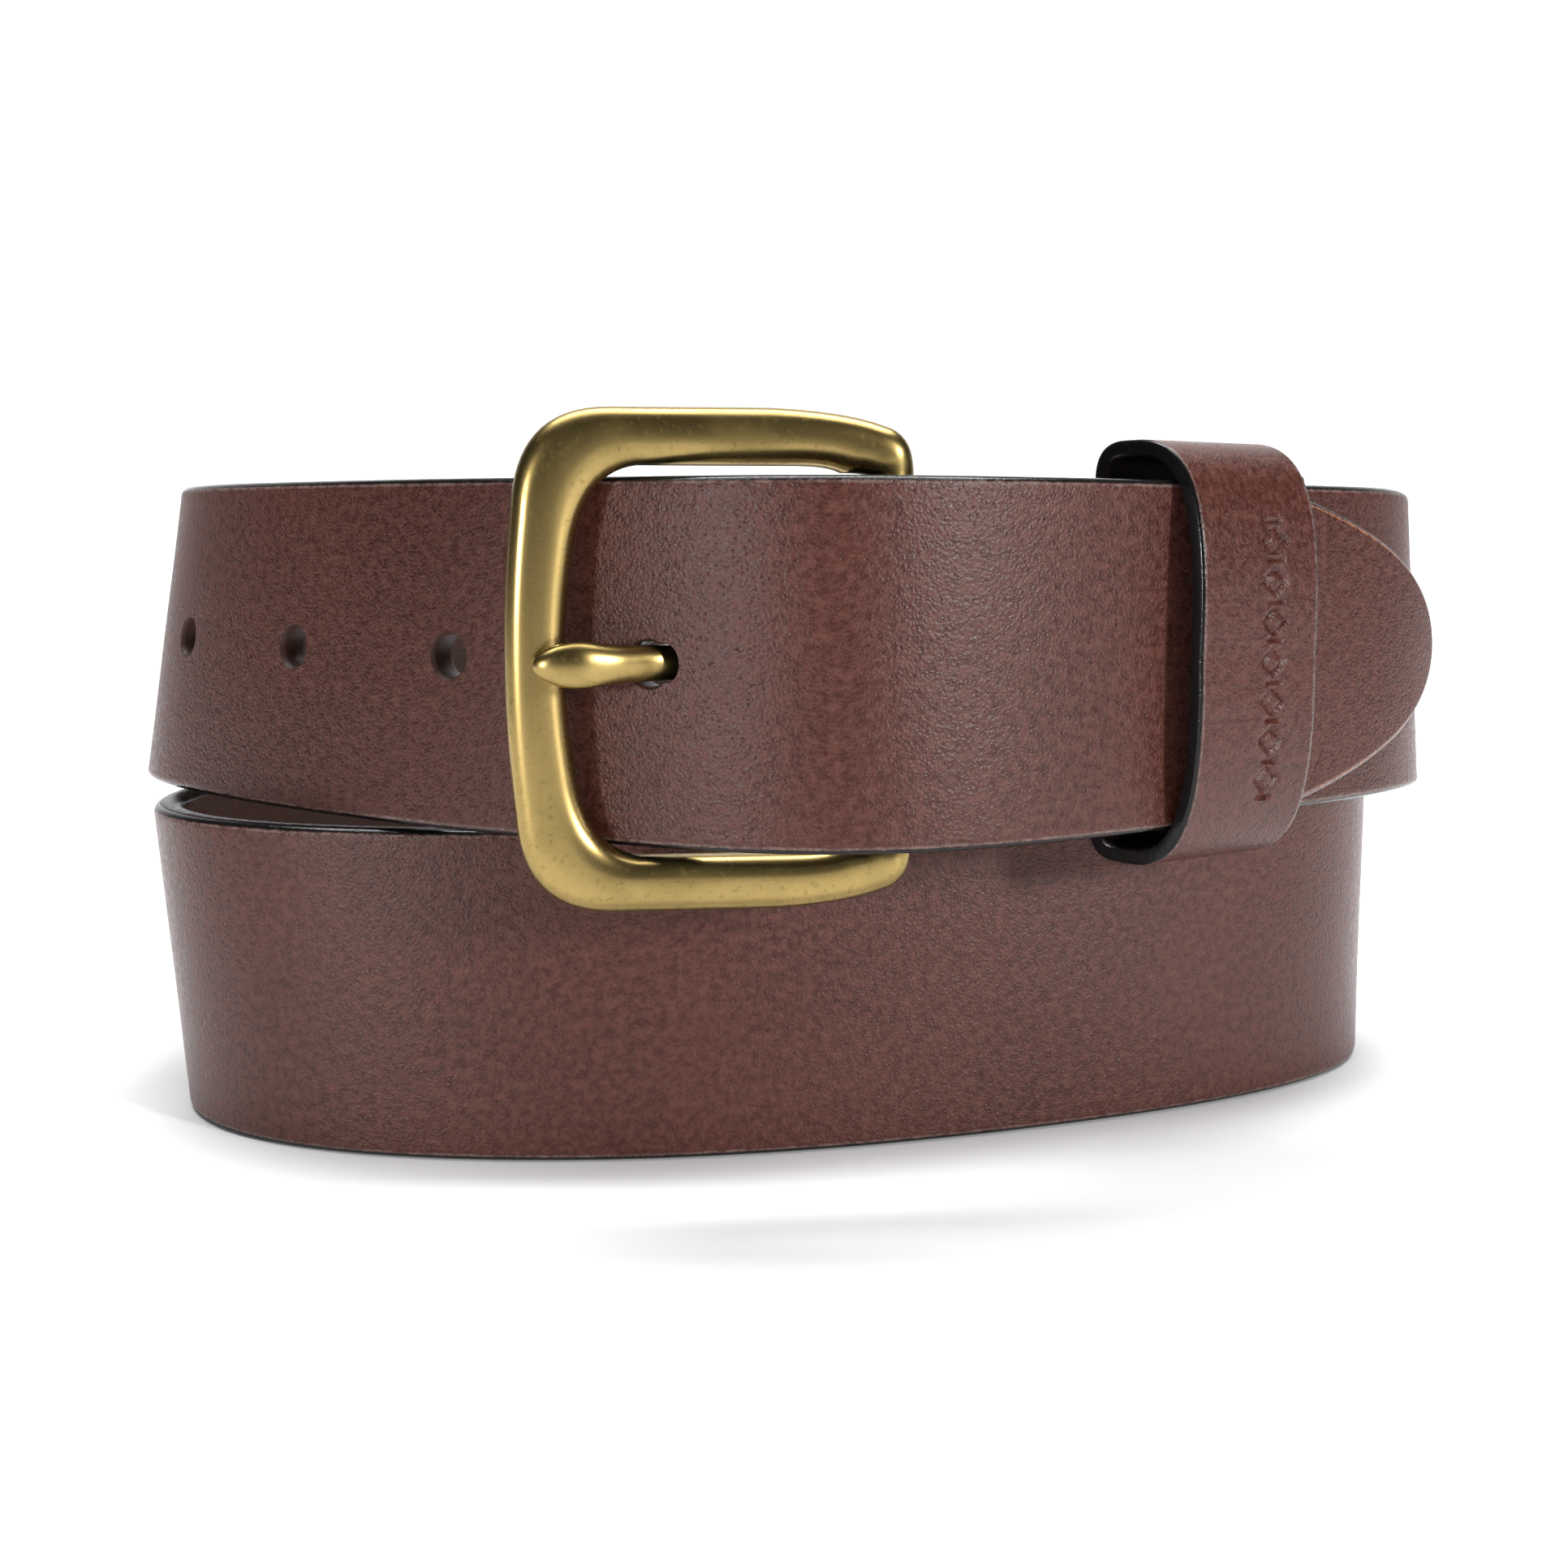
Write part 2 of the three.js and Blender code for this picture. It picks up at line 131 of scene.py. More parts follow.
def addNode(tree, kind, inputs=None, **settings):
    node = tree.nodes.new("ShaderNode" + kind)
    for key, value in settings.items():
        setattr(node, key, value)
    setInputs(tree, node, inputs or {})
    return node


def calc(tree, operation, a, b=None, c=None, clamp=False):
    values = {i: v for i, v in enumerate((a, b, c)) if v is not None}
    return addNode(tree, "Math", values, operation=operation, use_clamp=clamp).outputs[0]


def remap(tree, value, low, high, toLow=0.0, toHigh=1.0):
    return addNode(tree, "MapRange", {
        "Value": value, "From Min": low, "From Max": high, "To Min": toLow, "To Max": toHigh,
    }, interpolation_type="SMOOTHSTEP").outputs["Result"]


def mixColour(tree, factor, a, b):
    return addNode(tree, "Mix", {0: factor, 6: a, 7: b}, data_type="RGBA").outputs[2]


def rgb(r, g, b):
    return (r, g, b, 1)


def newGroup(name, inputs, outputs):
    group = bpy.data.node_groups.new(name, "ShaderNodeTree")
    for socketName, kind, default in inputs:
        socket = group.interface.new_socket(
            name=socketName, in_out="INPUT", socket_type="NodeSocket" + kind)
        if default is not None:
            socket.default_value = default
    for socketName, kind in outputs:
        group.interface.new_socket(name=socketName, in_out="OUTPUT", socket_type="NodeSocket" + kind)
    source = group.nodes.new("NodeGroupInput").outputs
    sink = group.nodes.new("NodeGroupOutput").inputs
    return group, source, sink


def useGroup(tree, group, inputs):
    node = tree.nodes.new("ShaderNodeGroup")
    node.node_tree = group
    setInputs(tree, node, inputs)
    return node.outputs


def newMaterial(name):
    material = bpy.data.materials.new(name)
    material.use_nodes = True
    tree = material.node_tree
    return material, tree, tree.nodes["Principled BSDF"]


# Shared effects

def leatherGrainGroup():
    # pebbled grain, pores and dye mottle of a drum-dyed hide; the vector is in metres
    group, source, sink = newGroup(
        "leatherGrain",
        [("Vector", "Vector", None), ("Pebble Size", "Float", 0.5 * mm), ("Crease", "Float", 0.5)],
        [("Height", "Float"), ("Pores", "Float"), ("Mottle", "Float"), ("Blotch", "Float")],
    )
    perPebble = calc(group, "DIVIDE", 1.0, source["Pebble Size"])
    cells = addNode(group, "VectorMath", {0: source["Vector"], "Scale": perPebble},
                    operation="SCALE").outputs[0]
    pebble = addNode(group, "TexVoronoi", {"Vector": cells, "Scale": 1.0, "Smoothness": 0.4},
                     feature="SMOOTH_F1").outputs["Distance"]
    fibre = addNode(group, "TexNoise", {"Vector": cells, "Scale": 2.3, "Detail": 3.0}).outputs["Fac"]
    crease = addNode(group, "TexNoise", {"Vector": cells, "Scale": 0.13, "Detail": 4.0,
                                         "Roughness": 0.62, "Distortion": 0.6}).outputs["Fac"]
    low = calc(group, "MULTIPLY_ADD", fibre, 0.5, calc(group, "MULTIPLY", pebble, -0.7))
    height = calc(group, "MULTIPLY_ADD", crease, source["Crease"], low)
    dots = addNode(group, "TexVoronoi", {"Vector": cells, "Scale": 0.55}).outputs["Distance"]
    pores = remap(group, dots, 0.05, 0.28, 1.0, 0.0)
    group.links.new(calc(group, "MULTIPLY_ADD", pores, -0.5, height), sink["Height"])
    group.links.new(pores, sink["Pores"])
    mottle = addNode(group, "TexNoise", {"Vector": source["Vector"], "Scale": 850.0, "Detail": 5.0,
                                         "Roughness": 0.78}).outputs["Fac"]
    group.links.new(remap(group, mottle, 0.36, 0.68), sink["Mottle"])
    blotch = addNode(group, "TexNoise", {"Vector": source["Vector"], "Scale": 38.0, "Detail": 2.5,
                                         "Distortion": 0.4}).outputs["Fac"]
    group.links.new(remap(group, blotch, 0.32, 0.68), sink["Blotch"])
    return group


def paintedEdgeGroup():
    # where the black edge dye ends, and a painted highlight line along the rim; Coordinate is the distance
    # past the rim of the grain side
    group, source, sink = newGroup(
        "paintedEdge",
        [("Coordinate", "Float", 0.0), ("Arc", "Float", 4 * mm), ("Vector", "Vector", None),
         ("Wobble", "Float", 0.25 * mm), ("Line Width", "Float", 0.22 * mm)],
        [("Edge", "Float"), ("Flesh", "Float"), ("Rim Highlight", "Float")],
    )
    ripple = addNode(group, "TexNoise", {"Vector": source["Vector"], "Scale": 900.0,
                                         "Detail": 3.0}).outputs["Fac"]
    shift = calc(group, "MULTIPLY", calc(group, "SUBTRACT", ripple, 0.5), source["Wobble"])
    at = calc(group, "ADD", source["Coordinate"], shift)
    onEdge = remap(group, at, 0.30 * mm, 0.62 * mm)
    fleshAndShade = remap(group, calc(group, "SUBTRACT", at, source["Arc"]), -0.05 * mm, 0.25 * mm)
    group.links.new(calc(group, "SUBTRACT", onEdge, fleshAndShade, clamp=True), sink["Edge"])
    group.links.new(fleshAndShade, sink["Flesh"])
    # painted highlight: a thin lighter line where light catches the rounded rim
    off = calc(group, "DIVIDE", calc(group, "ABSOLUTE", calc(group, "ADD", at, -0.28 * mm)),
               source["Line Width"])
    group.links.new(remap(group, off, 0.35, 1.0, 1.0, 0.0), sink["Rim Highlight"])
    return group


def agedMetalGroup():
    # tarnish clouds, specks and fine rubbing marks; the vector is in metres
    group, source, sink = newGroup(
        "agedMetal",
        [("Vector", "Vector", None), ("Speckle", "Float", 0.5)],
        [("Tarnish", "Float"), ("Rubbing", "Float")],
    )
    clouds = addNode(group, "TexNoise", {"Vector": source["Vector"], "Scale": 110.0, "Detail": 5.0,
                                         "Roughness": 0.6}).outputs["Fac"]
    specks = addNode(group, "TexNoise", {"Vector": source["Vector"], "Scale": 1700.0,
                                         "Detail": 2.0}).outputs["Fac"]
    speck = calc(group, "MULTIPLY", remap(group, specks, 0.56, 0.74), source["Speckle"])
    cloud = remap(group, clouds, 0.35, 0.72)
    group.links.new(calc(group, "MULTIPLY_ADD", cloud, 0.6, speck, clamp=True), sink["Tarnish"])
    brushed = addNode(group, "Mapping", {"Vector": source["Vector"], "Scale": (420, 420, 1300)})
    lines = addNode(group, "TexNoise", {"Vector": brushed.outputs[0], "Scale": 1.0,
                                        "Detail": 2.0}).outputs["Fac"]
    group.links.new(lines, sink["Rubbing"])
    return group


grainGroup = leatherGrainGroup()
edgeGroup = paintedEdgeGroup()
metalGroup = agedMetalGroup()


# Materials

leatherLook = {
    "dark": rgb(0.0230, 0.0055, 0.0035),
    "middle": rgb(0.0530, 0.0150, 0.0100),
    "light": rgb(0.1120, 0.0390, 0.0285),
    # flesh side and hole walls: their own dark brown, darkened further as painted shade in the punched holes
    "fleshAndShade": rgb(0.045, 0.020, 0.014),
    "cutFibre": rgb(0.42, 0.33, 0.26),
    "edgeDye": rgb(0.0055, 0.0055, 0.006),
    # painted highlight colour of the thin line along the rims
    "rimHighlightGrey": rgb(0.20, 0.165, 0.15),
    # the tip's bare leather edge colour, with a painted highlight
    "rimTanHighlight": rgb(0.36, 0.17, 0.095),
    "pebbleSize": 0.37 * mm,
    "grainDepth": 0.10 * mm,
    "roughness": (0.26, 0.39),
    "tanFrom": 948 * mm,  # distances along the belt between which the tip's rim is painted tan: the bare leather edge plus a painted highlight
    "tanTo": 973 * mm,
}


def leatherMaterial(name, arc, fleshAndShade, dyeStart=0.0, rimHighlightStrength=0.45, bareTipHighlight=False):
    material, tree, shader = newMaterial(name)
    look = leatherLook
    grainMap = addNode(tree, "UVMap", uv_map="grainMap").outputs[0]
    edgeMap = addNode(tree, "SeparateXYZ", {0: addNode(tree, "UVMap", uv_map="edgeMap").outputs[0]})
    grain = useGroup(tree, grainGroup, {"Vector": grainMap, "Pebble Size": look["pebbleSize"]})
    past = calc(tree, "ADD", edgeMap.outputs["Y"], dyeStart)
    edge = useGroup(tree, edgeGroup, {"Coordinate": past, "Arc": arc, "Vector": grainMap})
    dye = mixColour(tree, calc(tree, "MULTIPLY", grain["Blotch"], 0.45), look["middle"], look["dark"])
    dye = mixColour(tree, calc(tree, "MULTIPLY", grain["Mottle"], 0.75), dye, look["light"])
    dye = mixColour(tree, calc(tree, "MULTIPLY", grain["Pores"], 0.7), dye, look["dark"])
    # flesh side and hole walls; their dark colour is partly painted shade in the holes
    dye = mixColour(tree, edge["Flesh"], dye, fleshAndShade)
    dye = mixColour(tree, edge["Edge"], dye, look["edgeDye"])
    cut = remap(tree, edgeMap.outputs["Y"], bareCut - 2 * mm, bareCut - 1 * mm)
    dye = mixColour(tree, cut, dye, look["cutFibre"])
    # painted highlight along the rims, broken up by the mottle; at the tip partly the bare leather edge
    rimHighlightAndWear = calc(tree, "MULTIPLY", edge["Rim Highlight"], remap(tree, grain["Mottle"], 0.1, 0.8, 0.35, 1.0))
    rim = look["rimHighlightGrey"]
    strength = rimHighlightStrength
    # at the tip the rim line turns tan: partly the real bare leather edge, partly a painted highlight
    if bareTipHighlight:
        atTip = calc(tree, "MULTIPLY",
                     remap(tree, edgeMap.outputs["X"], look["tanFrom"], look["tanFrom"] + 6 * mm),
                     remap(tree, edgeMap.outputs["X"], look["tanTo"] - 5 * mm, look["tanTo"], 1, 0.15))
        rim = mixColour(tree, atTip, look["rimHighlightGrey"], look["rimTanHighlight"])
        strength = remap(tree, atTip, 0, 1, rimHighlightStrength, 0.75)
    dye = mixColour(tree, calc(tree, "MULTIPLY", rimHighlightAndWear, strength), dye, rim)
    rough = remap(tree, grain["Mottle"], 0, 1, *look["roughness"])
    rough = calc(tree, "MULTIPLY_ADD", edge["Flesh"], 0.22, rough)
    rough = calc(tree, "MULTIPLY_ADD", edge["Edge"], -0.16, rough)
    depth = calc(tree, "MULTIPLY", grain["Height"],
                 calc(tree, "SUBTRACT", 1.0, calc(tree, "MULTIPLY", edge["Edge"], 0.8)))
    bump = addNode(tree, "Bump", {"Height": depth, "Strength": 0.8, "Distance": look["grainDepth"]})
    setInputs(tree, shader, {
        "Base Color": dye, "Roughness": rough, "Normal": bump.outputs[0],
        "Specular IOR Level": 0.26,
    })
    return material


brassLook = {
    "clean": rgb(0.370, 0.266, 0.098),
    "tarnished": rgb(0.205, 0.152, 0.052),
    "roughness": (0.27, 0.40),
}


def metalMaterial(name, clean, tarnished, roughness, speckle=0.5):
    material, tree, shader = newMaterial(name)
    where = addNode(tree, "TexCoord").outputs["Object"]
    age = useGroup(tree, metalGroup, {"Vector": where, "Speckle": speckle})
    colour = mixColour(tree, age["Tarnish"], clean, tarnished)
    rough = remap(tree, age["Tarnish"], 0, 1, *roughness)
    bump = addNode(tree, "Bump", {"Height": age["Rubbing"], "Strength": 0.2, "Distance": 0.010 * mm})
    setInputs(tree, shader, {
        "Base Color": colour, "Metallic": 1.0, "Roughness": rough, "Normal": bump.outputs[0],
    })
    return material


def floorMaterial():
    material, tree, shader = newMaterial("paleSheet")
    where = addNode(tree, "TexCoord").outputs["Object"]
    tooth = addNode(tree, "TexNoise", {"Vector": where, "Scale": 900.0, "Detail": 2.0}).outputs["Fac"]
    tone = mixColour(tree, calc(tree, "MULTIPLY", tooth, 0.04), (*studio["floorColour"], 1),
                     rgb(0.7, 0.7, 0.7))
    setInputs(tree, shader, {"Base Color": tone, "Roughness": 0.75})
    return material


# Route of the strap

belt = {
    "width": 38 * mm,
    "thickness": 3.5 * mm,
    "flapThickness": 2.2 * mm,
    "flapEdgeRadius": 0.7 * mm,
    "edgeRadius": 0.95 * mm,  # of the rubbed edges
    "layerGap": 0.5 * mm,
    "gap": 0.3 * mm,
    "upperRingBottom": 38.4,
    "middle": (0.2 * mm, 6.5 * mm),
    "step": 2.4 * mm,
    "faceSteps": 16,
    "waviness": 0.07 * mm,  # of the faces, over each wave's length
    "waveLength": 14 * mm,
    "heel": 10.6 * mm,  # distance along the belt where it wraps the heel bar
    "tip": 981.5 * mm,
    "tipLength": 40 * mm,
    "holes": [868.8 * mm - i * 25.4 * mm for i in range(5)],
    "holeRadius": 2.3 * mm,
}

# x, y, bottom edge (mm) and lean (degrees) of the control points of a uniform cubic B-spline
strapRoute = [
    [-21.5, -61.5, 38.4, 1], [3, -61, 38.4, 0], [23.5, -52.5, 38.4, 0], [44, -37, 38.4, 0],
    [65.5, -21.5, 38.4, 2], [80.5, -5, 38.6, 4], [84, 14, 37, 4], [79, 34, 32, 3],
    [67, 52, 25.6, 2], [49, 65.5, 18.4, 1], [27.5, 73, 10.6, 0], [3.5, 75.5, 4, 0],
    [-20, 72.5, 0, 0], [-41, 62.5, 0, -1], [-58.5, 45, 0, -2], [-70.5, 23, 0, -4],
    [-76.5, -0.5, 0, -5], [-75.5, -21, 0, -5], [-63.5, -34.5, 0, -3], [-43.5, -41, 0, -1],
    [-18.5, -41.5, 0, 0], [7.5, -36.5, 0, 0], [33, -27.5, 0, 0], [56, -16.5, 0, 0],
    [73.5, -3, 0, 0], [80, 13, 0, 0], [75.5, 31, 3, 0], [63, 48.5, 10, 0],
    [43.5, 61.5, 19, 0], [20.5, 68.5, 28.6, 0], [-4, 69, 36.6, 0], [-28.5, 63.5, 39.8, 1],
    [-52, 53, 39.6, 3], [-70.5, 37.5, 39.2, 6], [-81, 19, 39.2, 8], [-81.5, 0.5, 39.2, 9],
    [-70.5, -15.5, 39.2, 8], [-54.5, -31, 38.8, 5], [-36.5, -44.5, 38.6, 2], [-18.5, -54.5, 38.4, 0],
]
tailOverlap = 7  # control points of the main strap that the tail lies over


def tailPoints():
    offset = (belt["thickness"] + belt["layerGap"]) / mm
    points = []
    for i in range(tailOverlap):
        before, here, after = strapRoute[i:i + 3]
        along = Vector((after[0] - before[0], after[1] - before[1])).normalized()
        points.append([here[0] + along.y * offset, here[1] - along.x * offset,
                       belt["upperRingBottom"], here[3]])
    return points


def measureRoute(points, stepsPerSpan=40):
    # rows of x, y, bottom edge, lean and distance
    points = np.array(points, float)
    u = np.arange((len(points) - 3) * stepsPerSpan + 1) / stepsPerSpan
    i = np.minimum(u.astype(int), len(points) - 4)
    f = (u - i)[:, None]
    rows = ((1 - f) ** 3 * points[i] + (3 * f ** 3 - 6 * f ** 2 + 4) * points[i + 1]
            + (-3 * f ** 3 + 3 * f ** 2 + 3 * f + 1) * points[i + 2] + f ** 3 * points[i + 3]) / 6
    rows[:, :3] *= mm
    steps = np.linalg.norm(np.diff(rows[:, :3], axis=0), axis=1)
    return np.column_stack([rows, np.concatenate([[0], np.cumsum(steps)])])


route = measureRoute(strapRoute + tailPoints())


def sampleAt(distance):
    return [float(np.interp(distance, route[:, 4], route[:, k])) for k in range(4)]


def sectionAt(distance):
    # middle point, level outward normal, width direction and running direction of the strap
    before, here, after = (sampleAt(distance + d) for d in (-0.5 * mm, 0, 0.5 * mm))
    along = Vector(a - b for a, b in zip(after[:3], before[:3])).normalized()
    out = Vector((along.y, -along.x, 0)).normalized()
    up = out.cross(along)
    up = -up if up.z < 0 else up
    lean = math.radians(here[3])
    up = up * math.cos(lean) - out * math.sin(lean)
    middle = Vector((here[0] - belt["middle"][0], here[1] - belt["middle"][1],
                     here[2] + belt["width"] / 2 * up.z))
    return middle, out, up, along


# Strips: everything cut from strap leather is a strip with rubbed edges

# distances past the rim that mark a surface: a dyed edge, a punched hole's wall and a fresh cut
dyedEdge, bareWall, bareCut = 2 * mm, 8 * mm, 40 * mm


def edgeArc(thickness, radius):
    return math.pi * radius + thickness - 2 * radius


def stripProfile(thickness, radius, faceSteps, cornerSteps=4):
    # corners of a section, from the bottom of the outer face round to the bottom of the inner one:
    # across, share of the face half height, inset from the outline, side, distance past the rim
    half, flat = thickness / 2, max(thickness - 2 * radius, 0)
    shares = [2 * i / faceSteps - 1 for i in range(faceSteps + 1)]
    face = [-1, -0.985] + shares[1:-1] + [0.985, 1]
    turn = [math.pi / 2 * i / cornerSteps for i in range(1, cornerSteps + 1)]
    points = [(half, f, radius, 0, 0.0) for f in face]
    for side in (1, -1):
        outer = [(half - radius + radius * math.cos(a), 0, radius * (1 - math.sin(a)), side, radius * a)
                 for a in turn]
        inner = [(-(half - radius) - radius * math.sin(a), 0, radius * (1 - math.cos(a)), side,
                  radius * (math.pi / 2 + a) + flat) for a in turn]
        if side == 1:
            points += outer + inner[:-1] + [(-half, f, radius, 0, edgeArc(thickness, radius))
                                            for f in reversed(face)]
        else:
            points += inner[:-1][::-1] + outer[::-1]
    return points


def stripRing(place, profile, distance, halfHeight, lean=(0.0, 1.0)):
    # one section; lean is the outline's normal along and across the strip where it is pointed
    ring, travelled, last = [], 0.0, None
    for across, share, inset, side, past in profile:
        up = max(halfHeight - inset * lean[1], 0.0)
        height = share * up if side == 0 else side * up
        at = distance - inset * lean[0]
        point = place(at, across, height)
        if side == 0:
            reach = up - abs(height)
            past = -reach if across > 0 else past + reach
        travelled = -up if last is None else travelled + (point - last).length
        last = point
        ring.append((point, at, travelled, past))
    return ring


def skin(name, rings, material, closed=False, mergeEnds=False, startPast=dyedEdge):
    # quads over rings of (point, distance, distance round, distance past the rim)
    shape = bmesh.new()
    grain, edge = (shape.loops.layers.uv.new(n) for n in ("grainMap", "edgeMap"))
    vertices = [[shape.verts.new(entry[0]) for entry in ring] for ring in rings]
    count = len(rings[0])
    perimeter = [ring[-1][2] + (ring[0][0] - ring[-1][0]).length for ring in rings]
    pairs = [(r, r + 1) for r in range(len(rings) - 1)] + ([(len(rings) - 1, 0)] if closed else [])

    def mark(loop, r, i, wrapped):
        at, travelled, past = rings[r][i][1:]
        loop[grain].uv = (at, perimeter[r] if wrapped else travelled)
        loop[edge].uv = (at, past)

    for a, b in pairs:
        for i in range(count):
            j = (i + 1) % count
            corners = [(a, i), (b, i), (b, j), (a, j)]
            face = shape.faces.new([vertices[r][k] for r, k in corners])
            for loop, (r, k) in zip(face.loops, corners):
                mark(loop, r, k, j == 0 and k == 0)
    if not closed:
        for r, order in ((0, 1), (len(rings) - 1, -1)):
            face = shape.faces.new(vertices[r][::order])
            for loop in face.loops:
                loop[edge].uv = (rings[r][0][1], startPast if r == 0 else dyedEdge)
                loop[grain].uv = (loop.vert.co.x, loop.vert.co.z)
    if mergeEnds:
        bmesh.ops.remove_doubles(shape, verts=shape.verts[:], dist=0.004 * mm)
    bmesh.ops.recalc_face_normals(shape, faces=shape.faces[:])
    mesh = bpy.data.meshes.new(name)
    shape.to_mesh(mesh)
    shape.free()
    return finishMesh(name, mesh, material)


def softenMesh(mesh):
    mesh.shade_smooth()
    mesh.set_sharp_from_angle(angle=math.radians(35))


def finishMesh(name, mesh, material):
    softenMesh(mesh)
    mesh.materials.append(material)
    obj = bpy.data.objects.new(name, mesh)
    bpy.context.scene.collection.objects.link(obj)
    return obj


def combine(obj, others, operation="DIFFERENCE"):
    # cuts other closed shapes from obj, or joins them to it, and keeps the result as its mesh
    for other in others:
        step = obj.modifiers.new("combine", "BOOLEAN")
        step.operation, step.solver, step.object = operation, "EXACT", other
    bpy.context.view_layer.update()
    result = bpy.data.meshes.new_from_object(
        obj.evaluated_get(bpy.context.evaluated_depsgraph_get()),
        preserve_all_data_layers=True, depsgraph=bpy.context.evaluated_depsgraph_get())
    obj.modifiers.clear()
    obj.data = result
    softenMesh(obj.data)
    for other in others:
        bpy.data.objects.remove(other)
    return obj


def latheRings(profile, sides, place, past=dyedEdge):
    # rings round an axis from (height, radius) pairs; place turns x, y and height into a point
    return [[(place(radius * math.cos(a), radius * math.sin(a), height), 0.0, 0.0, past)
             for a in (2 * math.pi * i / sides for i in range(sides))]
            for height, radius in profile]


def onStrap(distance):
    # a frame on the strap: x along, y up its width, z outward
    middle, out, up, along = sectionAt(distance)
    return lambda x, y, z: middle + along * x + up * y + out * z


# Strap pieces

def strapPlace(distance, across, height):
    middle, out, up, _ = sectionAt(distance)
    waves = Vector((distance / belt["waveLength"], height / belt["waveLength"], 3.7))
    return middle + out * (across + noise.noise(waves) * belt["waviness"]) + up * height


def strapRings(start, end):
    profile = stripProfile(belt["thickness"], belt["edgeRadius"], belt["faceSteps"])
    steps = math.ceil((end - start) / belt["step"])
    return [stripRing(strapPlace, profile, start + (end - start) * i / steps, belt["width"] / 2)
            for i in range(steps + 1)]


def tipRings():
    # a rounded point that leaves the full width without a corner
    profile = stripProfile(belt["thickness"], belt["edgeRadius"], belt["faceSteps"])
    half, length = belt["width"] / 2, belt["tipLength"]
    share = np.linspace(1, 0, 44) ** 1.35
    height = half * np.sqrt(np.maximum(1 - (1 - share) ** 1.22, 0))
    height[-1] = 0
    distance = belt["tip"] - length * share
    run, rise = np.gradient(distance), np.gradient(height)
    size = np.hypot(run, rise)
    normals = np.column_stack([-rise / size, run / size])
    normals[0], normals[-1] = (0, 1), (1, 0)
    return [stripRing(strapPlace, profile, d, h, lean=n)
            for d, h, n in zip(distance, height, normals)]


def holeCutter(distance):
    # a punched hole with rims pressed in a little on both sides
    half, radius = belt["thickness"] / 2, belt["holeRadius"]
    profile = [(-half - 0.6 * mm, radius + 0.9 * mm), (-half, radius + 0.36 * mm),
               (-half + 0.3 * mm, radius + 0.1 * mm), (-half + 0.7 * mm, radius),
               (half - 0.7 * mm, radius), (half - 0.3 * mm, radius + 0.1 * mm),
               (half, radius + 0.36 * mm), (half + 0.6 * mm, radius + 0.9 * mm)]
    return skin("hole", latheRings(profile, 36, onStrap(distance), bareWall), None)


# Turned-back end round the heel bar

heelBarRadius = 2.25 * mm
foldRadius = heelBarRadius + belt["gap"] + belt["flapThickness"] / 2
flapOffset = belt["thickness"] / 2 + belt["gap"] + belt["flapThickness"] / 2
flapLength = 63 * mm
foldJoin = 8 * mm  # from the heel bar to the start of the skive
skive = 6 * mm
flapLift = 1.3 * mm  # the cut end rides up a little


def smoothstep(value, low, high):
    t = min(max((value - low) / (high - low), 0), 1)
    return t * t * (3 - 2 * t)


def foldRings():
    # from the cut end of the flap, along the inside of the strap, round the heel bar and to the front
    heel, half, rings = belt["heel"], belt["width"] / 2, []
    thin = stripProfile(belt["flapThickness"], belt["flapEdgeRadius"], belt["faceSteps"])

    def flapPlace(at, across, height):
        ahead = flapLength - at
        middle, out, up, _ = sectionAt(heel + ahead)
        middle = middle + up * flapLift * smoothstep(ahead, 40 * mm, flapLength)
        offset = -2 * foldRadius + (2 * foldRadius - flapOffset) * smoothstep(ahead, 0, 11 * mm)
        return middle + out * (offset - across) + up * height

    flapSteps, turns = 26, 16
    for i in range(flapSteps):
        rings.append(stripRing(flapPlace, thin, flapLength * i / flapSteps, half))
    middle, out, up, along = sectionAt(heel)
    bar = middle - out * foldRadius

    def wrapPlace(at, across, height):
        angle = math.pi * (1 - (at - flapLength) / (math.pi * foldRadius))
        spoke = out * math.cos(angle) - along * math.sin(angle)
        return bar + spoke * (foldRadius + across) + Vector((0, 0, height))

    for i in range(turns + 1):
        rings.append(stripRing(wrapPlace, thin, flapLength + math.pi * foldRadius * i / turns, half))

    for ahead in (0.4, 0.7, 1.0):
        rings.append(stripRing(strapPlace, thin, heel + ahead * foldJoin, half))
    for share in (0.25, 0.5, 0.75):  # the skive, where the flap reaches the full thickness
        size = belt["flapThickness"] + share * (belt["thickness"] - belt["flapThickness"])
        radius = belt["flapEdgeRadius"] + share * (belt["edgeRadius"] - belt["flapEdgeRadius"])
        profile = stripProfile(size, radius, belt["faceSteps"])
        rings.append(stripRing(strapPlace, profile, heel + foldJoin + share * skive, half))
    return rings


# Keeper

keeper = {
    "distance": 39.9 * mm,
    "length": 19 * mm,
    "height": 47 * mm,
    "depth": 16.6 * mm,
    "wall": 1.8 * mm,
    "edgeRadius": 0.45 * mm,
    "buttGap": 0.25 * mm,  # the two ends meet behind the strap
    "motifDepth": 0.36 * mm,
    "motifAt": 2.2 * mm,  # from the keeper's middle, towards the tip
    "motifFrom": -16 * mm,
    "motifTo": 15 * mm,
    "motifPitch": 4.4 * mm,
    # painted shade: the inside of the loop is coloured near black for the deep shade in it
    "fleshAndShade": rgb(0.016, 0.011, 0.009),
}
keeperBack = -(flapOffset + belt["flapThickness"] / 2 + 0.5 * mm + keeper["wall"])


def bezier(points, steps):
    # points along a quadratic or cubic curve, without its first one
    result = []
    for i in range(1, steps + 1):
        f, row = i / steps, [Vector(p) for p in points]
        while len(row) > 1:
            row = [a.lerp(b, f) for a, b in zip(row, row[1:])]
        result.append(row[0])
    return result


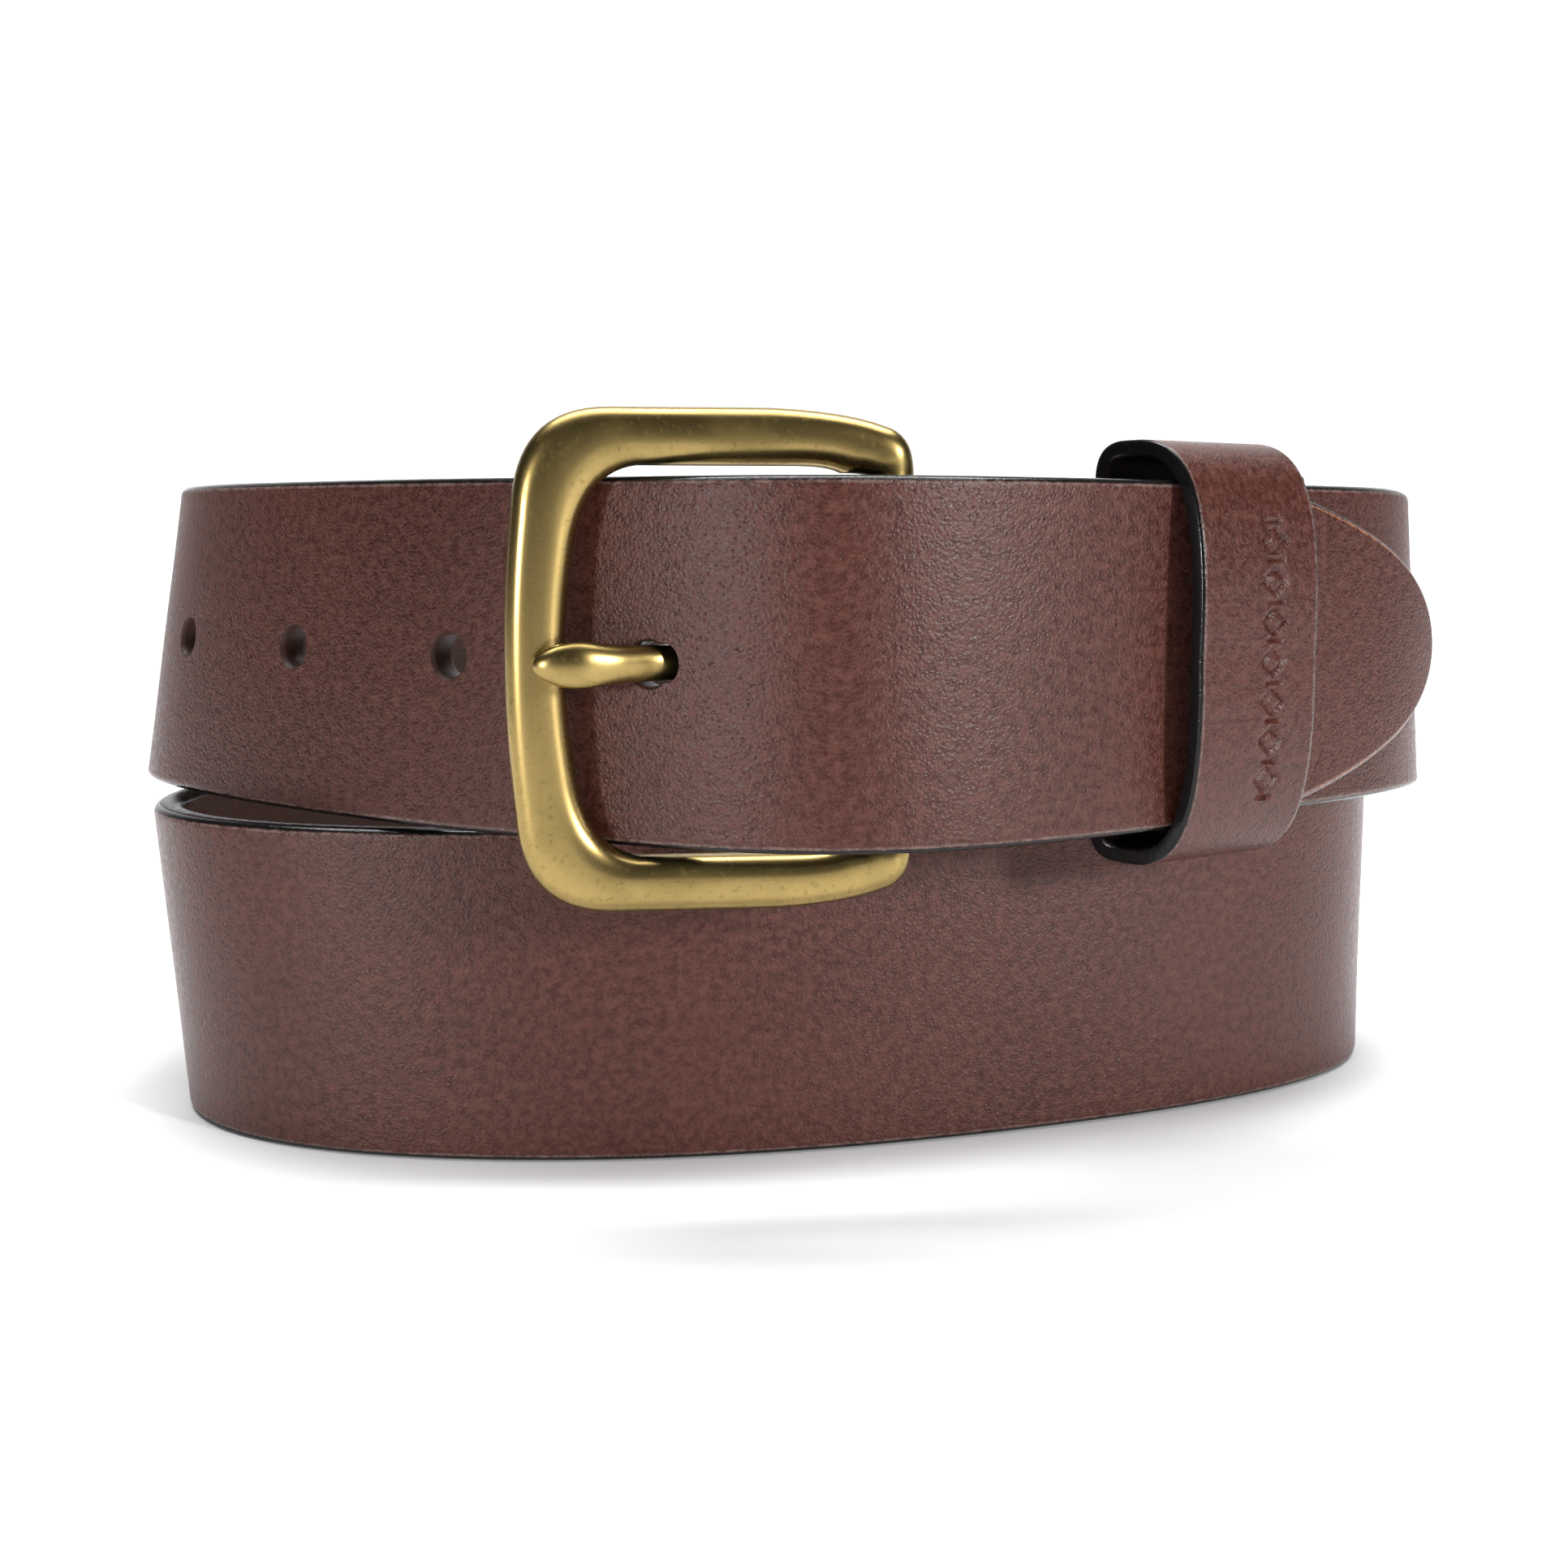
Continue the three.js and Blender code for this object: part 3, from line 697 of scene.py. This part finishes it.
def evenly(points, spacing):
    # the same path with its points at equal distances
    points = [Vector(p) for p in points]
    reach = [0.0]
    for a, b in zip(points, points[1:]):
        reach.append(reach[-1] + (b - a).length)
    count = max(2, round(reach[-1] / spacing))
    at = np.linspace(0, reach[-1], count + 1)
    return [Vector(row) for row in zip(*(np.interp(at, reach, [p[k] for p in points]) for k in range(2)))]


def keeperPath():
    # half of the loop's outer outline (outward, up), from the butt joint round the top to the front
    top, front = keeper["height"] / 2, keeper["depth"]
    half = [Vector((0, keeper["buttGap"] / 2)), Vector((0, top - 4.3 * mm))]
    half += bezier([(0, top - 4.3 * mm), (0, top), (4.3 * mm, top)], 10)
    half += [Vector((6.5 * mm, top))]
    half += bezier([(6.5 * mm, top), (front - 1.6 * mm, top), (front + 0.6 * mm, 15.5 * mm), (front, 0)], 24)
    return half + [Vector((p.x, -p.y)) for p in reversed(half[:-1])]


def motif(width, height):
    # a pressed row of lozenges between two short bars, in shares of the full depth
    if not keeper["motifFrom"] < height < keeper["motifTo"]:
        return 0.0
    local = (height - keeper["motifFrom"]) % keeper["motifPitch"] - keeper["motifPitch"] / 2
    side = abs(width - keeper["motifAt"]) / mm
    lozenge = abs(side / 1.75 + abs(local) / mm / 1.4 - 1) * 1.4
    bar = max(abs(abs(local) / mm - keeper["motifPitch"] / mm / 2) * 1.1, side - 1.0)
    return max(1 - smoothstep(lozenge, 0.12, 0.5), 1 - smoothstep(bar, 0.14, 0.42))


def keeperRings():
    middle, out, up, along = sectionAt(belt["heel"] + keeper["distance"])
    back = middle + out * keeperBack
    level = Vector((along.x, along.y, 0)).normalized()
    path = evenly(keeperPath(), 0.42 * mm)
    profile = stripProfile(keeper["wall"], keeper["edgeRadius"], 44, 3)
    rings, travelled = [], 0.0
    for i, point in enumerate(path):
        before, after = path[max(i - 1, 0)], path[min(i + 1, len(path) - 1)]
        run = (after - before).normalized()
        normal = Vector((-run.y, run.x))
        travelled += (point - before).length if i else 0.0

        def place(at, across, width, point=point, normal=normal):
            sink = 0.0
            if across > 0 and point.x > 8 * mm:
                sink = keeper["motifDepth"] * motif(-width, point.y)
            spot = point + normal * (across - keeper["wall"] / 2 - sink)
            return back + out * spot.x + Vector((0, 0, spot.y)) - level * width

        rings.append(stripRing(place, profile, travelled, keeper["length"] / 2))
    return rings


staple = {"span": 9 * mm, "wire": 0.9 * mm, "leg": 1.6 * mm}


def tube(name, path, radius, material, sides=14):
    rings = []
    for i, point in enumerate(path):
        ahead = (path[min(i + 1, len(path) - 1)] - path[max(i - 1, 0)]).normalized()
        side = ahead.orthogonal() if i == 0 else (side - ahead * side.dot(ahead))
        side.normalize()
        over = ahead.cross(side)
        rings.append([(point + (side * math.cos(a) + over * math.sin(a)) * radius, 0.0, 0.0, dyedEdge)
                      for a in (2 * math.pi * k / sides for k in range(sides))])
    return skin(name, rings, material)


def stapleWire(material):
    middle, out, _, along = sectionAt(belt["heel"] + keeper["distance"])
    back = middle + out * keeperBack
    end, behind = staple["span"] / 2, -belt["gap"] - staple["wire"] / 2
    bend = 0.8 * mm
    half = [Vector((staple["leg"], end)), Vector((behind + bend, end))]
    half += bezier([(behind + bend, end), (behind, end), (behind, end - bend)], 5)
    flat = half + [Vector((p.x, -p.y)) for p in reversed(half)]
    path = [back + out * p.x + Vector((0, 0, p.y)) for p in flat]
    return tube("keeperStaple", path, staple["wire"] / 2, material)


# Buckle

buckle = {
    "length": 42.3 * mm,
    "height": 51.8 * mm,
    "thickness": 5 * mm,
    "barWidth": 6.2 * mm,
    "yaw": 7.35,  # degrees, the outer bar stands further out than the heel bar
    "openingTop": 20.0 * mm,
}
heelBar = Vector(joints["frame_pivot"]["pos_m"])
toBuckle = Matrix.Translation(heelBar) @ Matrix.Rotation(math.radians(buckle["yaw"]), 4, "Z")


def frameOutlines():
    # upper halves of the outline and the opening, from the outer bar's middle to the heel bar's
    left, right = -buckle["length"] + heelBarRadius, heelBarRadius
    top = buckle["height"] / 2
    rise = [i / 10 for i in range(11)]
    outer = [Vector((left + 0.9 * mm * f * f, (top - 10 * mm) * f)) for f in rise]
    outer += bezier([(left + 0.9 * mm, top - 10 * mm), (left + 1.3 * mm, top - 4 * mm),
                     (left + 4 * mm, top), (left + 11 * mm, top)], 16)
    outer += bezier([(left + 11 * mm, top), (right - 15 * mm, top)], 8)
    outer += bezier([(right - 15 * mm, top), (right - 7 * mm, top - 0.3 * mm),
                     (right - 3 * mm, top - 1.8 * mm)], 6)
    outer += bezier([(right - 3 * mm, top - 1.8 * mm), (right, top - 2.6 * mm),
                     (right, top - 7 * mm)], 10)
    outer += bezier([(right, top - 7 * mm), (right, 0)], 6)
    innerLeft, innerTop, radius = left + buckle["barWidth"], buckle["openingTop"], right
    inner = [Vector((innerLeft + 0.8 * mm * f * f, (innerTop - 9.5 * mm) * f)) for f in rise]
    inner += bezier([(innerLeft + 0.8 * mm, innerTop - 9.5 * mm), (innerLeft + 1.4 * mm, innerTop - 4.3 * mm),
                     (innerLeft + 3.2 * mm, innerTop - 0.5 * mm), (innerLeft + 7.5 * mm, innerTop)], 16)
    shoulder = belt["width"] / 2 + belt["gap"]
    inner += bezier([(innerLeft + 7.5 * mm, innerTop), (right - 12 * mm, innerTop)], 8)
    inner += bezier([(right - 12 * mm, innerTop), (right - 9 * mm, innerTop), (-5.4 * mm, shoulder)], 6)
    inner += bezier([(-5.4 * mm, shoulder), (-radius, shoulder), (-radius, shoulder - 0.5 * mm)], 10)
    inner += bezier([(-radius, shoulder - 0.5 * mm), (-radius, 0)], 6)
    return outer, inner


def frameSection(width, roundness, sides=28):
    # across from the outline, and depth (front is negative): a pillowed bar, or round at the heel bar
    half = buckle["thickness"] / 2
    points = []
    for k in range(sides):
        a = 2 * math.pi * (k + 0.5) / sides
        c, s = math.cos(a), math.sin(a)
        power = 0.70 if s < 0 else 0.62
        full = (width / 2 - width / 2 * math.copysign(abs(c) ** power, c),
                half * math.copysign(abs(s) ** 0.78, s))
        circle = (width / 2 * (1 - c), heelBarRadius * s)
        points.append([f + roundness * (r - f) for f, r in zip(full, circle)])
    return points


def frameRings():
    # the whole loop, from the outer bar's middle over the top, down the heel bar and back
    outer, inner = frameOutlines()
    count = len(outer)
    order = [(i, 1) for i in range(count)] + [(i, -1) for i in range(count - 2, 0, -1)]
    rings = []
    for i, side in order:
        a, b = (Vector((p.x, 0, side * p.y)) for p in (outer[i], inner[i]))
        roundness = smoothstep(i, count - 12, count - 7)
        inward = (b - a).normalized()
        rings.append([(toBuckle @ (a + inward * across + Vector((0, depth, 0))), 0.0, 0.0, 0.0)
                      for across, depth in frameSection((b - a).length, roundness)])
    return rings


# x from the heel bar, y of the centreline (front is negative), half width, half depth, in mm
prongShape = [
    [2.0, -2.6, 2.3, 1.2], [0.5, -2.5, 2.4, 1.4], [-6, -1.8, 2.1, 1.5], [-14, -0.6, 1.88, 1.5],
    [-20, 0.2, 1.82, 1.5], [-24, -0.7, 1.85, 1.5], [-26.6, -2.1, 1.9, 1.5], [-29, -3.4, 2.0, 1.45],
    [-32, -4.4, 2.42, 1.4],
    [-34.2, -4.5, 2.2, 1.3], [-35.8, -4.4, 1.6, 1.15], [-36.8, -4.3, 0.95, 0.8], [-37.15, -4.3, 0.4, 0.35],
]
prongEye = {"radius": 4.4 * mm, "bore": 2.55 * mm, "width": 5.2 * mm}


def prongRings(grow=0.0, lift=0.0, sides=20):
    # sections along a smooth line through the shape's points, a little flatter than round in front
    shape = np.array(prongShape) * mm
    at = np.linspace(0, len(shape) - 1, 4 * len(shape))
    knots = np.arange(len(shape))
    rings = []
    turn = Matrix.Rotation(math.radians(lift), 4, "Z")
    for u in at:
        i = min(int(u), len(shape) - 2)
        f = u - i
        quad = shape[[max(i - 1, 0), i, i + 1, min(i + 2, len(shape) - 1)]]
        w = np.array([-f ** 3 + 2 * f ** 2 - f, 3 * f ** 3 - 5 * f ** 2 + 2,
                      -3 * f ** 3 + 4 * f ** 2 + f, f ** 3 - f ** 2]) / 2
        x, y, halfWidth, halfDepth = w @ quad
        ring = []
        for k in range(sides):
            a = 2 * math.pi * k / sides
            c, s = math.cos(a), math.sin(a)
            z = (halfWidth + grow) * math.copysign(abs(c) ** 0.9, c)
            depth = (halfDepth + grow) * math.copysign(abs(s) ** 0.86, s)
            ring.append((toBuckle @ turn @ Vector((x, y + depth, z)), 0.0, 0.0, dyedEdge))
        rings.append(ring)
    return rings


def eyeRings(sides=40):
    # the prong's eye, rolled round the heel bar
    outer, bore, half = prongEye["radius"], prongEye["bore"], prongEye["width"] / 2
    soft = 0.45 * mm
    section = [(bore + soft, -half), (outer - soft, -half), (outer - 0.13 * mm, -half + 0.13 * mm),
               (outer, -half + soft), (outer, half - soft), (outer - 0.13 * mm, half - 0.13 * mm),
               (outer - soft, half), (bore + soft, half), (bore, half - soft), (bore, -half + soft)]
    return [[(toBuckle @ Vector((r * math.cos(a), r * math.sin(a), z)), 0.0, 0.0, 0.0)
             for r, z in section] for a in (2 * math.pi * k / sides for k in range(sides))]


def slotRings(sides=32):
    # the round-ended slot that the prong passes through in the turned-back end
    length, width, behind, reach = 13 * mm, 6 * mm, 2 * mm, 8 * mm
    rings = []
    for y in (-reach, reach):
        corners = []
        for k in range(sides):
            a = 2 * math.pi * (k + 0.5) / sides
            c, s = math.cos(a), math.sin(a)
            x = (length - width) / 2 * math.copysign(1, c) + width / 2 * c
            corners.append((toBuckle @ Vector((x - behind, y, width / 2 * s)), 0.0, 0.0, dyedEdge))
        rings.append(corners)
    return rings


# Screw posts

post = {
    "distances": [16.5 * mm, 57 * mm],
    "headRadius": 4.6 * mm,
    "headThickness": 1 * mm,
    "barrelRadius": 2.5 * mm,
    "bore": 1.7 * mm,
    "shank": 1.35 * mm,
    "slotWidth": 1.1 * mm,
}
innerFace = -(flapOffset + belt["flapThickness"] / 2)
outerFace = belt["thickness"] / 2


def turned(name, distance, profile, material, sides=40, closed=False):
    rings = latheRings(profile, sides, onStrap(belt["heel"] + distance))
    return skin(name, rings, material, closed=closed)


def screwPost(name, distance, material):
    head, barrel, soft = post["headRadius"], post["barrelRadius"], 0.25 * mm
    seat, mouth = outerFace - post["headThickness"], innerFace + 0.4 * mm
    profile = [(seat - 0.05 * mm, post["bore"]), (mouth, post["bore"]), (mouth, barrel - 0.15 * mm),
               (mouth + 0.15 * mm, barrel), (seat, barrel), (seat, head - 0.1 * mm),
               (seat + 0.1 * mm, head), (outerFace - soft, head), (outerFace - 0.07 * mm, head - 0.12 * mm),
               (outerFace, head - soft), (outerFace, 0.02 * mm), (seat + 0.2 * mm, 0.02 * mm),
               (seat + 0.2 * mm, post["bore"] * 0.9)]
    return turned(name, distance, profile, material, closed=True)


def postScrew(name, distance, material):
    head, shank, top = post["headRadius"], post["shank"], innerFace - belt["gap"]
    profile = [(top - 1.2 * mm, 0.3 * mm), (top - 1.2 * mm, head - 1.5 * mm),
               (top - 1.1 * mm, head - 0.6 * mm), (top - 0.75 * mm, head - 0.12 * mm),
               (top - 0.4 * mm, head), (top - 0.1 * mm, head),
               (top, head - 0.1 * mm), (top, shank), (innerFace + 3.7 * mm, shank),
               (innerFace + 4 * mm, shank - 0.3 * mm)]
    screw = turned(name, distance, profile, material)
    place = onStrap(belt["heel"] + distance)
    width, length = post["slotWidth"] / 2, head + 1 * mm
    slot = [[(place(x, y, z), 0.0, 0.0, 0.0) for x, y in
             ((-width, -length), (width, -length), (width, length), (-width, length))]
            for z in (top - 2 * mm, top - 0.65 * mm)]
    return combine(screw, [skin("slot", slot, None)])


def postClearance(distance):
    # the hole through both layers, counterbored for the head
    mouth, barrel = innerFace - 1 * mm, post["barrelRadius"] + 0.1 * mm
    seat, head = outerFace - post["headThickness"] - 0.1 * mm, post["headRadius"] + 0.15 * mm
    profile = [(mouth, barrel), (seat, barrel), (seat, head), (outerFace + 0.5 * mm, head)]
    return skin("postHole", latheRings(profile, 36, onStrap(belt["heel"] + distance)), None)


# Assembly

buildStudio()
buildFloor(floorMaterial())
strapArc = edgeArc(belt["thickness"], belt["edgeRadius"])
strapLeather = leatherMaterial("strapLeather", strapArc, leatherLook["fleshAndShade"], bareTipHighlight=True)
keeperLeather = leatherMaterial("keeperLeather", edgeArc(keeper["wall"], keeper["edgeRadius"]),
                                keeper["fleshAndShade"], dyeStart=0.35 * mm)
brass = metalMaterial("agedBrass", brassLook["clean"], brassLook["tarnished"], brassLook["roughness"])
steel = metalMaterial("stapleSteel", rgb(0.5, 0.5, 0.49), rgb(0.3, 0.29, 0.28), (0.3, 0.45), 0.3)
print("belt: studio and materials ready")

# distances along the belt where one mesh ends and the next starts, and where the tip bends
seams = {"coilToBuckled": 775 * mm, "underOuterBar": 853 * mm, "insideKeeper": 938 * mm}

# the turned-back end, both rings and the upper left limb are one strip
coilRings = foldRings() + strapRings(belt["heel"] + foldJoin + skive, seams["coilToBuckled"])
strapCoil = skin("strapCoil", coilRings, strapLeather, startPast=bareCut)
cuts = [skin("prongSlot", slotRings(), None), holeCutter(belt["holes"][4])]
cuts += [postClearance(d) for d in post["distances"]]
combine(strapCoil, cuts)
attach(strapCoil, "strap")
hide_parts("strap_turnback", "strap_under_keeper", "strap_right_limb", "strap_back_descending",
            "strap_lower_left", "strap_lower_front", "strap_lower_right", "strap_back_ascending",
            "strap_upper_left")
print("belt: coil", len(strapCoil.data.vertices), "vertices")

# the buckled stretch, from the coil to under the outer bar, with three of the holes
strapBuckled = skin("strapBuckled", strapRings(seams["coilToBuckled"], seams["underOuterBar"]), strapLeather)
combine(strapBuckled, [holeCutter(d) for d in belt["holes"][1:4]])
bendStart = sectionAt(seams["coilToBuckled"] + 4 * mm)[0]
bendEnd = sectionAt(seams["underOuterBar"] - 6 * mm)[0]
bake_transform(strapBuckled)
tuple(bendStart)
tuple(bendEnd)
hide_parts("strap_buckled_end")

strapOverHeel = skin("strapOverHeel", strapRings(seams["underOuterBar"], seams["insideKeeper"]), strapLeather)
prongRoom = [skin("prongRoom", prongRings(0.35 * mm, lift), None) for lift in (0, 2, 4)]
combine(strapOverHeel, [holeCutter(belt["holes"][0])] + prongRoom)
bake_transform(strapOverHeel)
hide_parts("strap_tail")

tailRings = strapRings(seams["insideKeeper"], belt["tip"] - belt["tipLength"])[:-1] + tipRings()
strapTip = skin("strapTip", tailRings, strapLeather, mergeEnds=True)
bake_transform(strapTip)
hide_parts("strap_tip")
print("belt: buckled end and tip")

keeperLoop = skin("keeperLoop", keeperRings(), keeperLeather)
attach(keeperLoop, "keeper")
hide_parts("keeper_loop")
keeperStaple = stapleWire(steel)
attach(keeperStaple, "keeper")
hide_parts("keeper_staple")
print("belt: keeper")

buckleFrame = skin("buckleFrame", frameRings(), brass, closed=True)
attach(buckleFrame, "frame")
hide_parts("buckle_frame")
buckleProng = skin("buckleProng", prongRings(), brass)
combine(buckleProng, [skin("prongEye", eyeRings(), brass, closed=True)], "UNION")
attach(buckleProng, "prong")
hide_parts("buckle_prong")

for number, distance in enumerate(post["distances"], 1):
    for build, name, node in ((screwPost, "screwPost", "screw_post_"),
                              (postScrew, "postScrew", "post_screw_")):
        piece = build(name + str(number), distance, brass)
        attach(piece, "strap")
        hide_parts(node + str(number))
print("belt: buckle and posts")
